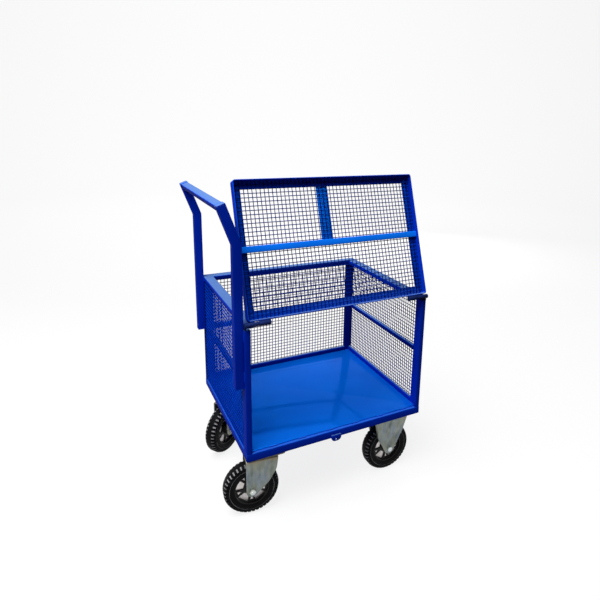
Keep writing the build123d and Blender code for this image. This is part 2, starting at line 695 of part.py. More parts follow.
def fixed_castor(name, y):
    """A pressed housing with splayed legs and folded edges under its own bolting face, and its wheel."""
    level, side, cross, axle = castor_planes(fixed_x, y, 0, 0)
    leg_low = wheel_radius - leg_round
    knee = castor_height - housing_knee
    half_top = castor_plate_width / 2 - housing_margin
    splay = atan2(half_top - fork_half, housing_knee)
    room_top = half_top - castor_plate * tan(splay) - fork_wall / cos(splay)
    top_half = castor_plate_length / 2
    waist_z = castor_height - housing_waist_drop
    with BuildSketch(side) as outline:
        dip = leg_round * cos(radians(30))
        waist = (top_half - housing_waist_in, waist_z)
        edge = [(top_half, castor_height), waist, (dip, wheel_radius - leg_round / 2)]
        Polygon(*edge, *[(-a, b) for a, b in reversed(edge)], align=None)
        fillet(outline.vertices().filter_by(lambda v: abs(v.Y - waist_z) < fork_wall), housing_curve)
        with Locations((0, wheel_radius)):
            Circle(leg_round)
    with BuildSketch(side) as inset:
        add(outline.sketch_local)
        offset(amount=-fork_wall, mode=Mode.REPLACE)
    with BuildPart() as room:
        extrude(inset.sketch, amount=castor_plate_width, both=True)
        with BuildSketch(cross):
            hollow = [(room_top, plate_bottom), (fork_inner, knee), (fork_inner, leg_low)]
            Polygon(*hollow, *[(-a, b) for a, b in reversed(hollow)], align=None)
        extrude(amount=wheel_radius, both=True, mode=Mode.INTERSECT)
    with BuildPart() as fork:
        extrude(outline.sketch, amount=castor_plate_width, both=True)
        with BuildSketch(cross):
            skin = [(half_top, castor_height), (fork_half, knee), (fork_half, leg_low)]
            Polygon(*skin, *[(-a, b) for a, b in reversed(skin)], align=None)
        extrude(amount=wheel_radius, both=True, mode=Mode.INTERSECT)
        add(room.part, mode=Mode.SUBTRACT)
        with BuildSketch(cross):
            with Locations((0, (plate_bottom + leg_low) / 2)):
                Rectangle(2 * (fork_inner - housing_flange), plate_bottom - leg_low)
            with Locations((0, wheel_radius)):
                Rectangle(2 * fork_inner, 2 * leg_round)
        extrude(amount=wheel_radius, both=True, mode=Mode.SUBTRACT)
        with BuildSketch(level.offset(plate_bottom)):
            with GridLocations(bolt_spacing_x, bolt_spacing_y, 2, 2):
                Circle(bolt_radius + bolt_gap)
        extrude(amount=castor_plate, mode=Mode.SUBTRACT)
        with BuildSketch(axle):
            Circle(axle_radius)
        extrude(amount=fork_half + axle_end, both=True, mode=Mode.SUBTRACT)
    save(fork, f"{name}_fork")
    wheel(name, axle)
    return axle


for name, y, turn in swivels:
    swivel_castor(name, y, turn)

fixed_planes = [fixed_castor("front_fixed", front_y), fixed_castor("rear_fixed", rear_y)]
axle_set("fixed_axles", fixed_planes)
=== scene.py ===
# %% [markdown]
# A mesh cage hand cart
#
# This lesson dresses a cart whose solids already exist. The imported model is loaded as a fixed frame: it
# says where every tube, wire panel and wheel is, and what turns about what. Blender adds the looks, piece
# by piece, and every new piece rides on one of the frame's bodies so that it follows the joints.

import json
from math import atan2, cos, pi, radians, sin

import bmesh
import bpy
from mathutils import Matrix, Vector


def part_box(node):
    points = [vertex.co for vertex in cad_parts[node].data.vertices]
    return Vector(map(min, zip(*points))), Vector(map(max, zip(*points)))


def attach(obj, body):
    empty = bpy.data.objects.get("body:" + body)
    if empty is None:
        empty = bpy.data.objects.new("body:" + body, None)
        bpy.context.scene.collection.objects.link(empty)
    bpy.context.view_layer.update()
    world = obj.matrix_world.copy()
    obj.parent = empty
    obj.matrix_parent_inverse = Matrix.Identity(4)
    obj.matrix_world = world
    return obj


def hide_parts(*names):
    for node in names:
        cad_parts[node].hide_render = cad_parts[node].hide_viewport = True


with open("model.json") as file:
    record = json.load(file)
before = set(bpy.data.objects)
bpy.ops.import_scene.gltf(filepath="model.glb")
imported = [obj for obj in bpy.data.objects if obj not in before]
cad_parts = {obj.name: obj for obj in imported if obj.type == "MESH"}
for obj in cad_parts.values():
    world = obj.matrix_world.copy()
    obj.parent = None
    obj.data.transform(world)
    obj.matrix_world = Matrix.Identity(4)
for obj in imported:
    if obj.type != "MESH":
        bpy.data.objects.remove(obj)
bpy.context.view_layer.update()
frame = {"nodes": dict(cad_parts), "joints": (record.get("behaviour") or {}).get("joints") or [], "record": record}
mm = 0.001
origin = Vector((0, 0, 0))
up = Vector((0, 0, 1))
joints = {joint["name"]: joint for joint in frame["joints"]}
bodies = frame["record"]["behaviour"]["bodies"]
body_of_node = {node: body for body, nodes in bodies.items() for node in nodes}
slot_of_node = {part["node"]: part["material_slot"] for part in frame["record"]["subparts"]}

# %% [markdown]
# The camera
#
# A photograph can be matched by eye, but here the corners of the deck and the cage gave the camera's place,
# its turn and its focal length by least squares. The matrix is put together from the view's own right, up
# and forward directions. The lens shift stands for the crop of the original picture.

# %% Place the camera
front_tube_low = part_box("deck_front_tube")[0]
deck_corner = Vector((front_tube_low.x, front_tube_low.y, 0))
camera_offset = Vector((-451.0, -1495.8, 1403.8)) * mm
camera_yaw = 0.4951
camera_pitch = -0.2302
camera_roll = 0.0286
focal_pixels = 511.67
photo_pixels = 600
optical_centre = (345.11, 238.81)

forward = Vector(
    (sin(camera_yaw) * cos(camera_pitch), cos(camera_yaw) * cos(camera_pitch), sin(camera_pitch))
)
level_right = Vector((cos(camera_yaw), -sin(camera_yaw), 0))
level_up = level_right.cross(forward)
view_right = level_right * cos(camera_roll) + level_up * sin(camera_roll)
view_up = level_up * cos(camera_roll) - level_right * sin(camera_roll)

camera_data = bpy.data.cameras.new("photo_camera")
camera_data.sensor_width = 36
camera_data.lens = camera_data.sensor_width * focal_pixels / photo_pixels
camera_data.shift_x = (photo_pixels / 2 - optical_centre[0]) / photo_pixels
camera_data.shift_y = (optical_centre[1] - photo_pixels / 2) / photo_pixels
camera_data.clip_end = 60
camera = bpy.data.objects.new("photo_camera", camera_data)
bpy.context.scene.collection.objects.link(camera)
camera_turn = Matrix((view_right, view_up, -forward)).transposed().to_4x4()
camera.matrix_world = Matrix.Translation(deck_corner + camera_offset) @ camera_turn
bpy.context.scene.camera = camera
bpy.context.scene.view_settings.view_transform = "Standard"
shifts = [round(shift, 3) for shift in (camera_data.shift_x, camera_data.shift_y)]
print("lens", round(camera_data.lens, 2), "shifts", shifts)

# %% [markdown]
# Floor and backdrop
#
# The cart stands on a plain pale floor that curves up into a backdrop far round it. A plane would do for the
# floor, but its far edge would show as a line. Pulling up the rim of one disc and bevelling the fold gives a
# bowl without a line, from every side. The disc itself stays flat shaded, so that the bent rim's normals
# don't spread over it.
#
# A white floor would throw so much light back up that the upright faces lose their depth. So Light Path
# makes it pale for the eye and for gloss, and dark where it bounces light. Much of the paleness is a glow,
# which fills the shadow to a faint one. The room round it uses the same trick.

# %% Make the floor
floor_radius = 14
backdrop_height = 14
fold_reach = 6


def seen_or_mirrored(tree):
    """1 for rays of the eye, of gloss and through glass, and 0 for rays that bounce off dull surfaces."""
    path = tree.nodes.new("ShaderNodeLightPath")
    total = path.outputs["Is Camera Ray"]
    for kind in ("Is Glossy Ray", "Is Transmission Ray"):
        either = tree.nodes.new("ShaderNodeMath")
        either.operation = "MAXIMUM"
        tree.links.new(total, either.inputs[0])
        tree.links.new(path.outputs[kind], either.inputs[1])
        total = either.outputs["Value"]
    return total


def floor_material(seen, glow, bounced):
    """A dull floor, pale and glowing where it is seen or mirrored, and darker where it bounces light."""
    material = bpy.data.materials.new("pale_floor")
    material.use_nodes = True
    tree = material.node_tree
    shader = tree.nodes["Principled BSDF"]
    shader.inputs["Roughness"].default_value = 0.8
    shader.inputs["Specular IOR Level"].default_value = 0.0
    any_seen = seen_or_mirrored(tree)
    colour = tree.nodes.new("ShaderNodeMix")
    colour.data_type = "RGBA"
    colour.inputs["A"].default_value = (*bounced, 1)
    colour.inputs["B"].default_value = (*seen, 1)
    tree.links.new(any_seen, colour.inputs["Factor"])
    tree.links.new(colour.outputs["Result"], shader.inputs["Base Color"])
    strength = tree.nodes.new("ShaderNodeMath")
    strength.operation = "MULTIPLY"
    strength.inputs[1].default_value = glow
    tree.links.new(any_seen, strength.inputs[0])
    tree.links.new(strength.outputs["Value"], shader.inputs["Emission Strength"])
    return material


def new_verts(result):
    """The vertices among an operator's results."""
    return [element for element in result["geom"] if isinstance(element, bmesh.types.BMVert)]


def bevel(bm, geom, offset, segments, affect="EDGES", clamp=False):
    """Rounds edges, or corners where it is told to."""
    bmesh.ops.bevel(
        bm,
        geom=geom,
        offset=offset,
        segments=segments,
        profile=0.5,
        affect=affect,
        clamp_overlap=clamp,
        material=-1,
    )


floor_bm = bmesh.new()
bmesh.ops.create_circle(floor_bm, cap_ends=True, segments=64, radius=floor_radius)
backdrop = bmesh.ops.extrude_edge_only(floor_bm, edges=floor_bm.edges)
bmesh.ops.translate(floor_bm, verts=new_verts(backdrop), vec=up * backdrop_height)
fold = [edge for edge in floor_bm.edges if all(vert.co.z < backdrop_height / 2 for vert in edge.verts)]
bevel(floor_bm, fold, fold_reach, segments=16)
bmesh.ops.recalc_face_normals(floor_bm, faces=floor_bm.faces)
for face in floor_bm.faces:
    face.smooth = len(face.verts) == 4
floor_mesh = bpy.data.meshes.new("studio_floor")
floor_bm.to_mesh(floor_mesh)
floor_bm.free()
floor_mesh.materials.append(
    floor_material(seen=(0.16, 0.16, 0.16), glow=0.84, bounced=(0.15, 0.15, 0.17))
)
studio_floor = bpy.data.objects.new("studio_floor", floor_mesh)
bpy.context.scene.collection.objects.link(studio_floor)
print("floor faces", len(floor_mesh.polygons))

# %% [markdown]
# Light
#
# Glossy paint shows what is round it. The deck, the rails' tops and the leaning door look up, so one wide
# lamp overhead makes them bright, and lighter blues painted on the deck, the tops and the door's bar add
# painted light. The upright faces look at a dimmer room, so they stay deep blue. A second lamp shines only
# on the backdrop, where the floor would else darken with distance. A third one fills the cart's far side for
# views from behind. It is hidden from the eye and from gloss, so it leaves no bright patch.

# %% Hang the lamps
def softbox(name, place, target, width, height, watts):
    """A rectangular area lamp at a place, turned to face a target."""
    lamp = bpy.data.lights.new(name, "AREA")
    lamp.shape = "RECTANGLE"
    lamp.size = width
    lamp.size_y = height
    lamp.energy = watts
    lamp_object = bpy.data.objects.new(name, lamp)
    bpy.context.scene.collection.objects.link(lamp_object)
    lamp_object.location = place
    lamp_object.rotation_euler = (Vector(target) - Vector(place)).to_track_quat("-Z", "Y").to_euler()
    return lamp_object


cart_middle = (0, 0, 0.5)
backdrop_spot = (4.0, 11.0, 3.5)
softbox("overhead_lamp", place=(-1.4, -0.6, 4.0), target=cart_middle, width=3.0, height=3.0, watts=245)
softbox("backdrop_lamp", place=(1.5, 4.5, 6.5), target=backdrop_spot, width=5, height=5, watts=700)
rear_lamp = softbox("rear_lamp", place=(2.6, 3.4, 1.7), target=cart_middle, width=2.4, height=2.0, watts=70)
rear_lamp.visible_camera = False
rear_lamp.visible_glossy = False

world = bpy.data.worlds.new("studio_room")
bpy.context.scene.world = world
world.use_nodes = True
room = world.node_tree
room_light = room.nodes.new("ShaderNodeMapRange")
room_light.inputs["To Min"].default_value = 0.06
room_light.inputs["To Max"].default_value = 1.0
room.links.new(seen_or_mirrored(room), room_light.inputs["Value"])
room.links.new(room_light.outputs["Result"], room.nodes["Background"].inputs["Strength"])
room.nodes["Background"].inputs["Color"].default_value = (0.98, 0.98, 0.98, 1)

# %% [markdown]
# Material helpers
#
# Each finish starts from the Principled shader and object coordinates. A few small functions add noise,
# blend two colours by it, lay one colour over another, spread a value over a range for the roughness, or
# turn it into bump. Object coordinates keep a pattern at one scale on every piece, since all the pieces sit
# at the same origin.

# %% Write the material helpers
def new_material(name, colour, roughness, metallic=0.0):
    """Returns a material, its node tree, its shader and its object coordinates."""
    material = bpy.data.materials.new(name)
    material.use_nodes = True
    tree = material.node_tree
    shader = tree.nodes["Principled BSDF"]
    shader.inputs["Base Color"].default_value = (*colour, 1)
    shader.inputs["Roughness"].default_value = roughness
    shader.inputs["Metallic"].default_value = metallic
    coordinates = tree.nodes.new("ShaderNodeTexCoord").outputs["Object"]
    return material, tree, shader, coordinates


def noise(tree, coordinates, scale, detail, stretch=(1, 1, 1)):
    """A noise value on object coordinates, stretched along the axes."""
    mapping = tree.nodes.new("ShaderNodeMapping")
    mapping.inputs["Scale"].default_value = stretch
    tree.links.new(coordinates, mapping.inputs["Vector"])
    texture = tree.nodes.new("ShaderNodeTexNoise")
    texture.inputs["Scale"].default_value = scale
    texture.inputs["Detail"].default_value = detail
    tree.links.new(mapping.outputs["Vector"], texture.inputs["Vector"])
    return texture.outputs["Fac"]


def blend(tree, value, low, high):
    """Two colours, blended by the middle part of a value's range, where a noise has most of its values."""
    colours = tree.nodes.new("ShaderNodeValToRGB")
    for stop, position, colour in zip(colours.color_ramp.elements, (0.35, 0.65), (low, high)):
        stop.position = position
        stop.color = (*colour, 1)
    tree.links.new(value, colours.inputs["Fac"])
    return colours.outputs["Color"]


def over(tree, factor, below, above):
    """One colour laid over another by a factor. The upper colour is plain."""
    mix = tree.nodes.new("ShaderNodeMix")
    mix.data_type = "RGBA"
    mix.inputs["B"].default_value = (*above, 1)
    tree.links.new(factor, mix.inputs["Factor"])
    tree.links.new(below, mix.inputs["A"])
    return mix.outputs["Result"]


def spread(tree, value, low, high):
    """A value from 0 to 1, spread between two numbers."""
    scale = tree.nodes.new("ShaderNodeMapRange")
    scale.inputs["To Min"].default_value = low
    scale.inputs["To Max"].default_value = high
    tree.links.new(value, scale.inputs["Value"])
    return scale.outputs["Result"]


def between(tree, value, low, high):
    """0 up to one level of a value and 1 from another, with a soft change between them."""
    change = tree.nodes.new("ShaderNodeMapRange")
    change.inputs["From Min"].default_value = low
    change.inputs["From Max"].default_value = high
    tree.links.new(value, change.inputs["Value"])
    return change.outputs["Result"]


def multiply(tree, first, second):
    """Two values multiplied, kept between 0 and 1."""
    product = tree.nodes.new("ShaderNodeMath")
    product.operation = "MULTIPLY"
    product.use_clamp = True
    tree.links.new(first, product.inputs[0])
    tree.links.new(second, product.inputs[1])
    return product.outputs["Value"]


def vertical(tree, vector):
    """The Z part of a vector."""
    parts = tree.nodes.new("ShaderNodeSeparateXYZ")
    tree.links.new(vector, parts.inputs["Vector"])
    return parts.outputs["Z"]


def bump(tree, shader, value, strength, distance, below=None):
    """Turns a value into small bumps on the surface, on top of other bumps where there are any."""
    node = tree.nodes.new("ShaderNodeBump")
    node.inputs["Strength"].default_value = strength
    node.inputs["Distance"].default_value = distance
    tree.links.new(value, node.inputs["Height"])
    if below:
        tree.links.new(below, node.inputs["Normal"])
    tree.links.new(node.outputs["Normal"], shader.inputs["Normal"])
    return node.outputs["Normal"]


# %% [markdown]
# Blue paint
#
# The steel is sprayed in a gloss blue. A coat of paint is never one flat colour: the film is a little
# thicker and darker in places, and its skin has a fine ripple. One slow noise moves the colour, another the
# gloss, and a fine one gives the ripple as bump. The deck's plate is thin sheet, so its own paint also has
# slow waves that bend the reflection of the mesh.
#
# Upper faces get a lighter blue as painted light from above: the face's own normal mixes that in. The tubes
# at the back and the right middle rail get a darker mix as painted shade, and the door's bar and strip a
# lighter one as painted light. The deck's plate is a lighter, greener blue as painted light. The wires are
# duller, and their paint is darker as painted shade; those of the end by the handle are a little lighter as
# painted light. The hinges are nearly black. White gloss is off in every mix, because the pale floor would
# lie on the blue as a grey veil. A small metallic share mirrors it in blue.

# %% Mix the paint
def gloss_paint(name, thin, thick, smooth, rough, mirror=0.05, waves=0, painted_top_light=None):
    """Sprayed blue between two colours and two roughnesses.

    Mirror is the share of blue mirroring. Waves is the height of a sheet's unevenness, and the last argument
    is a pair of lighter colours painted on as light from above, one for sloping faces and one for level ones.
    """
    material, tree, shader, place = new_material(name, thin, smooth, mirror)
    colour = blend(tree, noise(tree, place, scale=5, detail=4), thick, thin)
    if painted_top_light:
        sloping, level = painted_top_light
        # Painted light: faces that look up are laid over with lighter blues, as if lit from above.
        facing_up = vertical(tree, tree.nodes.new("ShaderNodeTexCoord").outputs["Normal"])
        colour = over(tree, between(tree, facing_up, 0.05, 0.35), colour, sloping)
        colour = over(tree, between(tree, facing_up, 0.50, 0.95), colour, level)
    tree.links.new(colour, shader.inputs["Base Color"])
    gloss = spread(tree, noise(tree, place, scale=23, detail=3), smooth, rough)
    tree.links.new(gloss, shader.inputs["Roughness"])
    shader.inputs["Specular IOR Level"].default_value = 0.0
    sheet = None
    if waves:
        swell = noise(tree, place, scale=6, detail=2, stretch=(1, 1.6, 1))
        sheet = bump(tree, shader, swell, strength=0.5, distance=waves)
    ripple = noise(tree, place, scale=420, detail=2)
    bump(tree, shader, ripple, strength=0.10, distance=0.6 * mm, below=sheet)
    return material


# Lighter blues for sloping and level faces, painted light from above.
lit_slope_blue = (0.002, 0.068, 0.66)
lit_top_blue = (0.085, 0.175, 0.44)
lit_edge_blue = (0.025, 0.140, 0.74)
frame_paint = gloss_paint(
    "gloss_blue_paint", (0.002, 0.028, 0.50), (0.001, 0.021, 0.42), 0.14, 0.30, painted_top_light=(lit_slope_blue, lit_top_blue)
)
base_paint = gloss_paint(
    "base_blue_paint", (0.002, 0.030, 0.52), (0.001, 0.022, 0.44), 0.14, 0.30, painted_top_light=(lit_slope_blue, lit_edge_blue)
)
# Painted shade: a darker copy of the blue for the tubes that stand in the cage's shade.
shaded_tube_paint = gloss_paint(
    "shaded_tube_blue_paint", (0.002, 0.012, 0.22), (0.001, 0.008, 0.17), 0.14, 0.30, painted_top_light=(lit_slope_blue, lit_top_blue)
)
# Painted light: the deck's plate is a lighter, greener copy of the blue, as if lit from above.
lit_deck_paint = gloss_paint(
    "lit_deck_blue_paint", (0.001, 0.148, 0.78), (0.001, 0.126, 0.71), 0.03, 0.06, mirror=0.25, waves=0.3 * mm
)
# Painted light: a lighter copy of the blue for the door's bar and strip, which face up and forward.
lit_bar_paint = gloss_paint("lit_bar_blue_paint", (0.004, 0.190, 0.97), (0.003, 0.165, 0.90), 0.16, 0.30)
# Painted shade: the wires' paint is darker than the tubes', as shade between the wires.
shaded_wire_paint = gloss_paint("shaded_wire_blue_paint", (0.001, 0.018, 0.22), (0.001, 0.012, 0.16), 0.50, 0.70)
# Painted light: the wires of the end by the handle are a little lighter, as light from that side.
lit_end_wire_paint = gloss_paint("lit_end_wire_blue_paint", (0.001, 0.045, 0.50), (0.001, 0.034, 0.42), 0.40, 0.60)
hinge_paint = gloss_paint("hinge_navy_paint", (0.014, 0.028, 0.13), (0.008, 0.016, 0.085), 0.18, 0.40)
print("paints", [paint.name for paint in (frame_paint, lit_deck_paint, lit_bar_paint, shaded_wire_paint, hinge_paint)])

# %% [markdown]
# Zinc, rubber and mouldings
#
# The castors bring the other finishes. Zinc plate is a grey metal with lilac and olive clouds, stained tan
# at the bend under the swivel head, and on the head itself it is passivated yellow, darkened to brown as
# painted shade under the deck. The bolts are newer and brighter. The tyres are dull black rubber, with a
# grey painted highlight on one edge of each lug and on the ring in the wall, the wheel centres are satin
# black mouldings, and the discs behind their windows are silver.

# %% Mix the castor finishes
zinc_dark = (0.12, 0.145, 0.14)
zinc_pale = (0.28, 0.315, 0.305)
lilac_tint = (0.74, 0.82, 1.06)
olive_tint = (1.00, 0.92, 0.66)
stain_tan = (0.30, 0.24, 0.15)
stain_low = 215 * mm
stain_high = 224 * mm
stain_border = 8 * mm


def tinted(colour, tint):
    """A colour with each channel multiplied by a tint's."""
    return tuple(channel * share for channel, share in zip(colour, tint))


def bend_stain(tree, place):
    """Patches of stain in a band of heights with soft borders, where the fork is bent."""
    height = vertical(tree, place)
    over_low = between(tree, height, stain_low - stain_border, stain_low)
    under_high = between(tree, height, stain_high + stain_border, stain_high)
    patches = spread(tree, noise(tree, place, scale=60, detail=4), -0.2, 1.5)
    return multiply(tree, multiply(tree, over_low, under_high), patches)


def bright_zinc(name, dark, pale, rough, stained=False):
    """Zinc plate: grey metal with soft clouds and faint drawn lines, with a tan stain at the fork's bend."""
    material, tree, shader, place = new_material(name, pale, rough, 0.8)
    streak = (1, 1, 0.35)
    colour = blend(tree, noise(tree, place, scale=70, detail=5, stretch=streak), dark, pale)
    lilac = spread(tree, noise(tree, place, scale=34, detail=2, stretch=streak), -1.0, 1.6)
    colour = over(tree, lilac, colour, tinted(pale, lilac_tint))
    olive = spread(tree, noise(tree, place, scale=26, detail=3, stretch=(1, 1, 0.6)), -1.1, 1.6)
    colour = over(tree, olive, colour, tinted(pale, olive_tint))
    if stained:
        colour = over(tree, bend_stain(tree, place), colour, stain_tan)
    tree.links.new(colour, shader.inputs["Base Color"])
    dullness = spread(tree, noise(tree, place, scale=60, detail=4), rough - 0.06, rough + 0.2)
    tree.links.new(dullness, shader.inputs["Roughness"])
    lines = noise(tree, place, scale=90, detail=3, stretch=(1, 1, 7))
    bump(tree, shader, lines, strength=0.12, distance=0.5 * mm)
    return material


def clouded_metal(name, dark, pale, rough, metallic, cloud_scale, grain_scale):
    """A metal face with soft clouds between two colours and a fine grain."""
    middle = tuple((low + high) / 2 for low, high in zip(dark, pale))
    material, tree, shader, place = new_material(name, middle, rough, metallic)
    cloud = noise(tree, place, scale=cloud_scale, detail=4)
    tree.links.new(blend(tree, cloud, dark, pale), shader.inputs["Base Color"])
    grain = noise(tree, place, scale=grain_scale, detail=3)
    bump(tree, shader, grain, strength=0.10, distance=0.4 * mm)
    return material


def tyre_rubber(name, black, dusty_and_glint):
    """Moulded rubber between two greys, dull all over."""
    material, tree, shader, place = new_material(name, black, 0.6)
    dust_and_glint = noise(tree, place, scale=18, detail=5)
    tree.links.new(blend(tree, dust_and_glint, black, dusty_and_glint), shader.inputs["Base Color"])
    dullness = spread(tree, noise(tree, place, scale=70, detail=4), 0.42, 0.70)
    tree.links.new(dullness, shader.inputs["Roughness"])
    shader.inputs["Specular IOR Level"].default_value = 0.06
    grain = noise(tree, place, scale=380, detail=3)
    bump(tree, shader, grain, strength=0.18, distance=0.6 * mm)
    return material


def wheel_black():
    """Satin black moulding of the wheel centres."""
    material, tree, shader, place = new_material("wheel_black", (0.008, 0.008, 0.009), 0.42)
    shader.inputs["Specular IOR Level"].default_value = 0.2
    satin = spread(tree, noise(tree, place, scale=45, detail=4), 0.32, 0.52)
    tree.links.new(satin, shader.inputs["Roughness"])
    grain = noise(tree, place, scale=300, detail=2)
    bump(tree, shader, grain, strength=0.10, distance=0.4 * mm)
    return material


finishes = {
    "blue_paint": frame_paint,
    "hinge_black": hinge_paint,
    "bright_zinc": bright_zinc("bright_zinc", zinc_dark, zinc_pale, 0.42),
    # Painted shade: the passivated yellow is darkened to a brown, as the shade under the deck.
    "yellow_zinc": clouded_metal(
        "yellow_zinc",
        dark=(0.09, 0.07, 0.04),
        pale=(0.15, 0.13, 0.10),
        rough=0.46,
        metallic=0.4,
        cloud_scale=40,
        grain_scale=120,
    ),
    "tyre_rubber": tyre_rubber("tyre_rubber", (0.0015, 0.0015, 0.002), (0.004, 0.004, 0.005)),
    "wheel_black": wheel_black(),
}
disc_silver = clouded_metal(
    "disc_silver",
    dark=(0.58, 0.55, 0.54),
    pale=(0.74, 0.70, 0.69),
    rough=0.35,
    metallic=0.85,
    cloud_scale=50,
    grain_scale=160,
)
swivel_zinc = bright_zinc("swivel_zinc", zinc_dark, zinc_pale, 0.42, stained=True)
bolt_zinc = bright_zinc("bolt_zinc", (0.56, 0.60, 0.61), (0.72, 0.76, 0.77), 0.30)
# Painted highlight: a paler grey rubber for the glints on the lugs' shoulders and the ring.
glint_rubber = tyre_rubber("glint_rubber", (0.16, 0.16, 0.17), (0.34, 0.34, 0.35))
for node, cad_object in frame["nodes"].items():
    cad_object.data.materials.clear()
    cad_object.data.materials.append(finishes[slot_of_node[node]])
print("finishes", sorted(finishes))

# %% [markdown]
# From a bmesh to a piece
#
# Every piece ends the same way: its mesh becomes an object at the origin, its faces are smooth except across
# sharp edges, and it rides on a node's body. Nearly all of them also stand for that node. Two helpers
# keep that in one place, so the steps below only shape meshes.


def new_piece(bm, name, node, materials, smooth_angle):
    """Makes the mesh an object that rides on the body of a node."""
    mesh = bpy.data.meshes.new(name)
    bm.to_mesh(mesh)
    bm.free()
    mesh.polygons.foreach_set("use_smooth", [True] * len(mesh.polygons))
    mesh.set_sharp_from_angle(angle=radians(smooth_angle))
    for material in materials:
        mesh.materials.append(material)
    piece = bpy.data.objects.new(name, mesh)
    bpy.context.scene.collection.objects.link(piece)
    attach(piece, body_of_node[node])
    return piece


def finish_piece(bm, node, materials=None, smooth_angle=35):
    """Makes the mesh a piece that stands for a node, in the node's finish or in others."""
    piece = new_piece(bm, f"{node}_look", node, materials or [finishes[slot_of_node[node]]], smooth_angle)
    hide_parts(node)


# %% [markdown]
# Tubes
#
# The deck frame, the posts and the rails are drawn steel tube with softly rounded corners. A cube is
# stretched to the node's own box, and only the four edges along the tube are bevelled, so the ends stay
# square where they butt against their neighbours.

# %% Shape the plain tubes
tube_corner = 2.5 * mm
tube_wall = 1.5 * mm


def box_mesh(low, high):
    """A cube stretched between two corners."""
    bm = bmesh.new()
    bmesh.ops.create_cube(bm, size=1)
    bmesh.ops.scale(bm, vec=Vector(high) - Vector(low), verts=bm.verts)
    bmesh.ops.translate(bm, vec=(Vector(low) + Vector(high)) / 2, verts=bm.verts)
    return bm


def round_along(bm, axis, radius):
    """Bevels the edges of a box that run along an axis."""
    along = []
    for edge in bm.edges:
        way = (edge.verts[1].co - edge.verts[0].co).normalized()
        if abs(way[axis]) > 0.9:
            along.append(edge)
    bevel(bm, along, radius, segments=3)
    bm.normal_update()


def longest_axis(low, high):
    """The axis along which a box is longest."""
    return max(range(3), key=lambda axis: (high - low)[axis])


plain_tubes = [f"{side}_{height}_rail" for side in ("left", "right", "back") for height in ("bottom", "mid")]
plain_tubes += ["front_left_post", "front_right_post", "rear_left_post", "rear_right_post"]
# The shaded tubes take the darker paint, as painted shade.
shaded_tubes = ["rear_left_post", "rear_right_post", "right_mid_rail"]
shaded_tubes += ["back_mid_rail", "back_bottom_rail", "back_top_rail"]
for node in plain_tubes:
    low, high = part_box(node)
    tube = box_mesh(low, high)
    round_along(tube, longest_axis(low, high), tube_corner)
    finish_piece(tube, node, [shaded_tube_paint if node in shaded_tubes else frame_paint])
print("plain tubes", len(plain_tubes))

# %% [markdown]
# Mitred frames
#
# The deck's four tubes and the cage's top ring meet at 45 degrees. Moving the end vertices of a box by their
# own distance from the outer side turns a square end into a mitre. The top ring is open at the front, where
# its two side rails show their hollow ends: the end face is inset by the wall and pushed in.

# %% Shape the mitred tubes
near = 0.1 * mm
open_depth = 150 * mm


def mitre_end(bm, run, across, outer, end, way):
    """Slides an end back by each vertex's distance from the outer side.

    Way is 1 at a low end and -1 at a high one.
    """
    for vert in bm.verts:
        if abs(vert.co[run] - end) < near:
            vert.co[run] += way * abs(vert.co[across] - outer)


def open_low_end(bm, axis):
    """Hollows the low end of a tube, so that its wall and its dark inside show."""
    end = [face for face in bm.faces if face.normal[axis] < -0.9]
    bmesh.ops.inset_region(bm, faces=end, thickness=tube_wall)
    hole = bmesh.ops.extrude_face_region(bm, geom=end)
    bmesh.ops.delete(bm, geom=[face for face in end if face.is_valid], context="FACES_ONLY")
    inward = Vector((0, 0, 0))
    inward[axis] = open_depth
    bmesh.ops.translate(bm, verts=new_verts(hole), vec=inward)


mitred_tubes = {
    "deck_front_tube": (0, -1, True),
    "deck_rear_tube": (0, 1, True),
    "deck_left_tube": (1, -1, True),
    "deck_right_tube": (1, 1, True),
    "left_top_rail": (1, -1, False),
    "right_top_rail": (1, 1, False),
    "back_top_rail": (0, 1, True),
}
for node, (run, outer_side, both_ends) in mitred_tubes.items():
    low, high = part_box(node)
    across = 1 - run
    outer = low[across] if outer_side < 0 else high[across]
    tube = box_mesh(low, high)
    round_along(tube, run, tube_corner)
    if both_ends:
        mitre_end(tube, run, across, outer, low[run], 1)
    else:
        open_low_end(tube, run)
    mitre_end(tube, run, across, outer, high[run], -1)
    paint = base_paint if node.startswith("deck") else frame_paint
    # The back top rail takes the darker paint, as painted shade.
    finish_piece(tube, node, [shaded_tube_paint if node in shaded_tubes else paint])
print("mitred tubes", len(mitred_tubes))

# %% [markdown]
# Joists
#
# Two joists run under the deck, one node for both, so their box gives the place of each. One box is made at
# the low end, copied to the high end, and both are rounded together.

# %% Shape the joists
low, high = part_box("deck_joists")
joist_width = high.z - low.z
joists = box_mesh(low, (low.x + joist_width, high.y, high.z))
second = bmesh.ops.duplicate(joists, geom=joists.verts[:] + joists.edges[:] + joists.faces[:])
bmesh.ops.translate(joists, verts=new_verts(second), vec=(high.x - low.x - joist_width, 0, 0))
round_along(joists, 1, tube_corner)
finish_piece(joists, "deck_joists")
print("joists", round(joist_width, 3), "wide")

# %% [markdown]
# Wire panels
#
# Each wall is a welded mesh: round upright wires, cross wires laid on them, and a small weld where they
# touch. Modelling every wire by hand would be endless, so one wire is made with create_cone, and a spin with
# no angle and a step of one pitch copies it along the row. The welds are low icospheres, copied twice: into
# a row, and then the row across the panel. The panel is made flat and a matrix stands it in its place.

# %% Write the panel helpers
wire_radius = 1.5 * mm
wire_sides = 8
mesh_pitch = 14.5 * mm
mesh_depth = 6.04 * mm
weld_radius = 1.9 * mm
weld_flatness = 0.8


def repeat(bm, geom, step, count):
    """Copies geometry along a straight row."""
    steps = count - 1
    bmesh.ops.spin(bm, geom=geom, cent=origin, axis=up, dvec=step, angle=0, steps=steps, use_duplicate=True)


